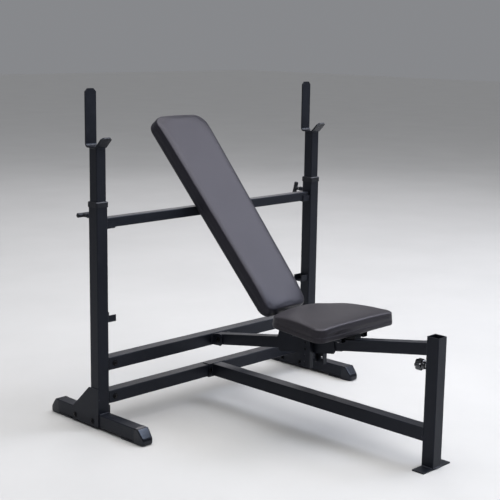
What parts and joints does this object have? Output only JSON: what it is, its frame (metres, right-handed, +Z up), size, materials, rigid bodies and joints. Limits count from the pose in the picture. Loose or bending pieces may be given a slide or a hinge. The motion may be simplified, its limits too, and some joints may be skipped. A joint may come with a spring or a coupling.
{
  "type": "olympic bench press",
  "caption": "Weight bench with telescoping bar holders, an inclining back pad on a removable support bar, a height-adjustable seat and a front post socket.",
  "frame": {"origin": "on the floor, under the middle of the bench's overall box", "axes": "+X across the bench towards the right-hand upright seen from the front post, -Y towards the front post and the lifter's feet, +Z up"},
  "size_m": [1.2628, 1.445, 1.303],
  "materials": {
    "frame_paint": "satin blue-black powder coat",
    "moulded_caps": "smooth moulded black plastic",
    "rest_rubber": "matt black rubber",
    "black_bolts": "black oxide",
    "bright_steel": "zinc plated",
    "grips": "dipped black vinyl",
    "knob_plastic": "glossy moulded",
    "back_vinyl": "grained vinyl, dark violet grey",
    "seat_vinyl": "grained vinyl, dark grey",
    "boards": "plywood with a black dust cloth"
  },
  "bodies": {
    "frame": {"foot_tubes": "frame_paint", "foot_caps": "moulded_caps", "upright_collars": "moulded_caps", "outer_gussets": "frame_paint", "inner_gussets": "frame_paint", "crossbar_stubs": "frame_paint", "upper_crossbar": "frame_paint", "lower_crossbar": "frame_paint", "upper_cradles": "frame_paint", "lower_cradles": "frame_paint", "front_post": "frame_paint", "post_base_plate": "frame_paint", "lower_beam": "frame_paint", "lower_beam_bracket": "frame_paint", "main_beam": "frame_paint", "main_beam_bracket": "frame_paint", "pad_saddle": "frame_paint", "main_beam_bolt": "black_bolts", "seat_guides": "moulded_caps", "seat_pin_bracket": "frame_paint", "seat_rest_block": "rest_rubber", "foot_bolts": "black_bolts", "crossbar_bolts": "black_bolts", "frame_nuts": "black_bolts", "hinge_bolt": "black_bolts", "pin_housings": "frame_paint", "pin_springs": "bright_steel", "knob_boss": "frame_paint", "left_upright": "frame_paint", "right_upright": "frame_paint"},
    "left_inner_upright": {"left_inner_upright": "frame_paint", "left_inner_glide": "moulded_caps", "left_bar_holder": "frame_paint"},
    "right_inner_upright": {"right_inner_upright": "frame_paint", "right_inner_glide": "moulded_caps", "right_bar_holder": "frame_paint"},
    "left_pull_pin": {"left_pin_plunger": "bright_steel", "left_pin_handle": "grips"},
    "right_pull_pin": {"right_pin_plunger": "bright_steel", "right_pin_handle": "grips"},
    "seat_pull_pin": {"seat_pin_plunger": "bright_steel", "seat_pin_handle": "grips"},
    "back_rest": {"back_cushion": "back_vinyl", "back_board": "boards", "left_back_rail": "frame_paint", "right_back_rail": "frame_paint", "back_hinge_arms": "frame_paint", "back_rail_brace": "frame_paint", "back_screws": "bright_steel", "hinge_bushes": "moulded_caps"},
    "support_bar": {"support_bar": "frame_paint", "support_bar_plugs": "moulded_caps"},
    "seat": {"seat_cushion": "seat_vinyl", "seat_board": "boards", "seat_rails": "frame_paint", "seat_screws": "bright_steel", "left_seat_post": "frame_paint", "right_seat_post": "frame_paint"},
    "post_knob": {"post_knob": "knob_plastic", "post_knob_stud": "bright_steel"}
  },
  "joints": [
    {"name": "left_holder_height", "type": "slide", "parent": "frame", "child": "left_inner_upright", "axis": [0, 0, 1], "range_m": [-0.1524, 0.1016]},
    {"name": "right_holder_height", "type": "slide", "parent": "frame", "child": "right_inner_upright", "axis": [0, 0, 1], "range_m": [-0.1524, 0.1016]},
    {"name": "left_pin_pull", "type": "slide", "parent": "frame", "child": "left_pull_pin", "axis": [0, 1, 0], "range_m": [-0.009, 0.006], "stiffness_N_per_m": 500},
    {"name": "right_pin_pull", "type": "slide", "parent": "frame", "child": "right_pull_pin", "axis": [0, 1, 0], "range_m": [-0.009, 0.006], "stiffness_N_per_m": 500},
    {"name": "seat_pin_pull", "type": "slide", "parent": "frame", "child": "seat_pull_pin", "axis": [1, 0, 0], "range_m": [-0.009, 0.006], "stiffness_N_per_m": 500},
    {"name": "back_pad_tilt", "type": "hinge", "parent": "frame", "child": "back_rest", "pos_m": [0, 0.0075, 0.408], "axis": [1, 0, 0], "range_deg": [0, 40]},
    {"name": "support_bar_lift", "type": "slide", "parent": "frame", "child": "support_bar", "axis": [0, 0, 1], "range_m": [0, 0.035]},
    {"name": "seat_height", "type": "slide", "parent": "frame", "child": "seat", "axis": [0, 0, 1], "range_m": [0, 0.081]},
    {"name": "knob_turn", "type": "hinge", "parent": "frame", "child": "post_knob", "pos_m": [0, -0.6517, 0.366], "axis": [0, 1, 0], "continuous": true}
  ],
  "couplings": [
    {"joint": "support_bar_lift", "follows": "back_pad_tilt", "m_per_rad": 0.05}
  ]
}
